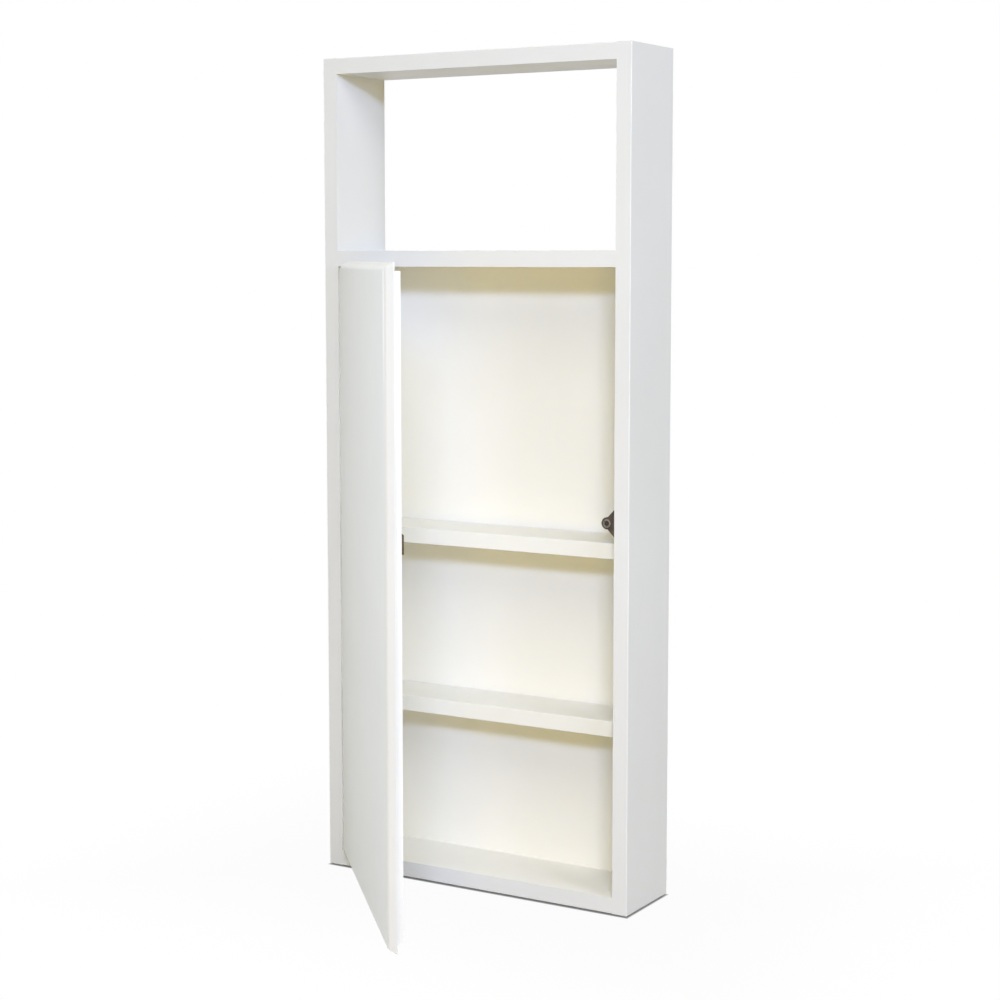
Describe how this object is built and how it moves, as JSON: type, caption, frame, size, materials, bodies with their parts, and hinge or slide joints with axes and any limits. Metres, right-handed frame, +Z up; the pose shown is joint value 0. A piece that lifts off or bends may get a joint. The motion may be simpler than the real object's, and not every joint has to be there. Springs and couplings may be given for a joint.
{
  "type": "wall cabinet",
  "caption": "Slim white wall cabinet for above a toilet: open top niche, closed compartment with shelves, and a lipped slab door on knife hinges with a magnetic catch.",
  "frame": {"origin": "centre of the four wall screw holes, on the wall plane", "axes": "+Z up, +X to the right seen from the front, +Y into the wall, so the front and the door face -Y"},
  "size_m": [0.356, 0.3247, 0.846],
  "materials": {
    "white_paint": "satin white paint on fibreboard",
    "door_paint": "satin white paint on fibreboard",
    "back_paint": "satin warm white paint on fibreboard",
    "dowel_wood": "raw beech",
    "catch_brown": "satin dark brown moulding",
    "strike_bronze": "dark bronze",
    "cup_bronze": "dark nickel bronze",
    "magnet_ferrite": "ground ferrite",
    "plated_steel": "bright zinc plate",
    "screw_steel": "zinc plate",
    "washer_nylon": "natural nylon",
    "hinge_brass": "satin brass"
  },
  "bodies": {
    "cabinet": {"left_side": "white_paint", "right_side": "white_paint", "top_panel": "white_paint", "divider_panel": "white_paint", "bottom_panel": "white_paint", "back_panel": "back_paint", "back_panel_screws": "screw_steel", "top_dowels": "dowel_wood", "divider_dowels": "dowel_wood", "bottom_dowels": "dowel_wood", "upper_shelf": "white_paint", "lower_shelf": "white_paint", "upper_shelf_pins": "plated_steel", "lower_shelf_pins": "plated_steel", "upper_cabinet_leaf": "hinge_brass", "lower_cabinet_leaf": "hinge_brass", "upper_cabinet_leaf_screws": "screw_steel", "lower_cabinet_leaf_screws": "screw_steel", "upper_hinge_pin": "hinge_brass", "lower_hinge_pin": "hinge_brass", "upper_hinge_washer": "washer_nylon", "lower_hinge_washer": "washer_nylon", "catch_housing": "catch_brown", "catch_cup": "cup_bronze", "catch_magnet": "magnet_ferrite", "catch_screws": "screw_steel"},
    "door": {"door_panel": "door_paint", "upper_door_leaf": "hinge_brass", "lower_door_leaf": "hinge_brass", "upper_door_leaf_screws": "screw_steel", "lower_door_leaf_screws": "screw_steel", "strike_plate": "strike_bronze", "strike_screw": "screw_steel"}
  },
  "joints": [
    {"name": "door_hinge", "type": "hinge", "parent": "cabinet", "child": "door", "pos_m": [-0.1485, -0.09, 0], "axis": [0, 0, -1], "range_deg": [-47.7, 52.3]}
  ]
}
